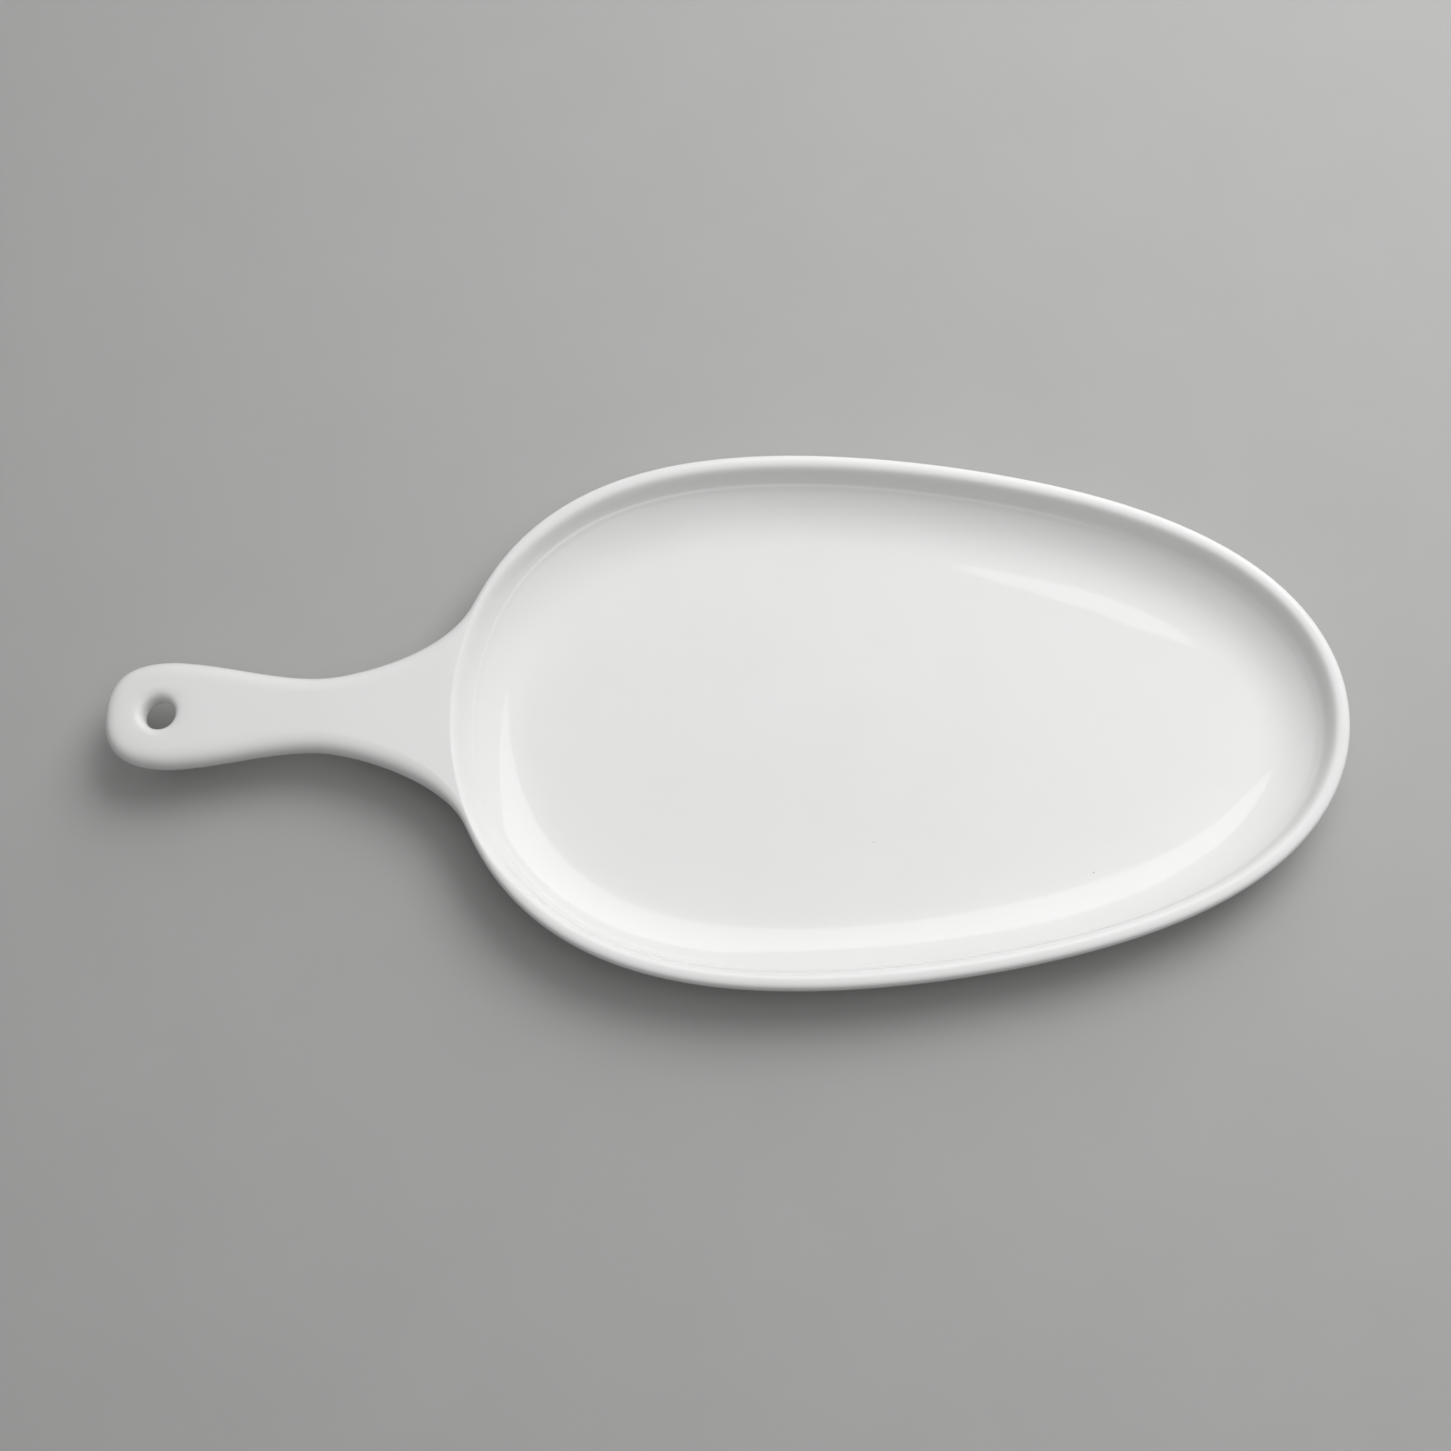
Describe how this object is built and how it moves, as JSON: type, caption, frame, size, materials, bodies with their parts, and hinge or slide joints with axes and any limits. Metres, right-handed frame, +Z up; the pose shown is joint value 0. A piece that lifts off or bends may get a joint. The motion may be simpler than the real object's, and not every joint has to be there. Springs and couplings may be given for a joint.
{
  "type": "paddle plate",
  "caption": "White glazed egg-shaped serving plate with a rounded lip, steep inner wall, soft cove, flat floor and a flat waisted handle with a hanging hole.",
  "frame": {"origin": "on the table under the middle of the plate's whole length and width", "axes": "+X along the plate from the handle towards the far end of the dish, +Z up out of the dish"},
  "size_m": [0.36, 0.1626, 0.022],
  "materials": {
    "white_glaze": "clear glossy glaze over white body",
    "bare_clay": "unglazed, fired, matt and fine-grained"
  },
  "bodies": {
    "root": {"dish": "white_glaze", "handle": "white_glaze", "foot_ring": "bare_clay"}
  },
  "joints": []
}
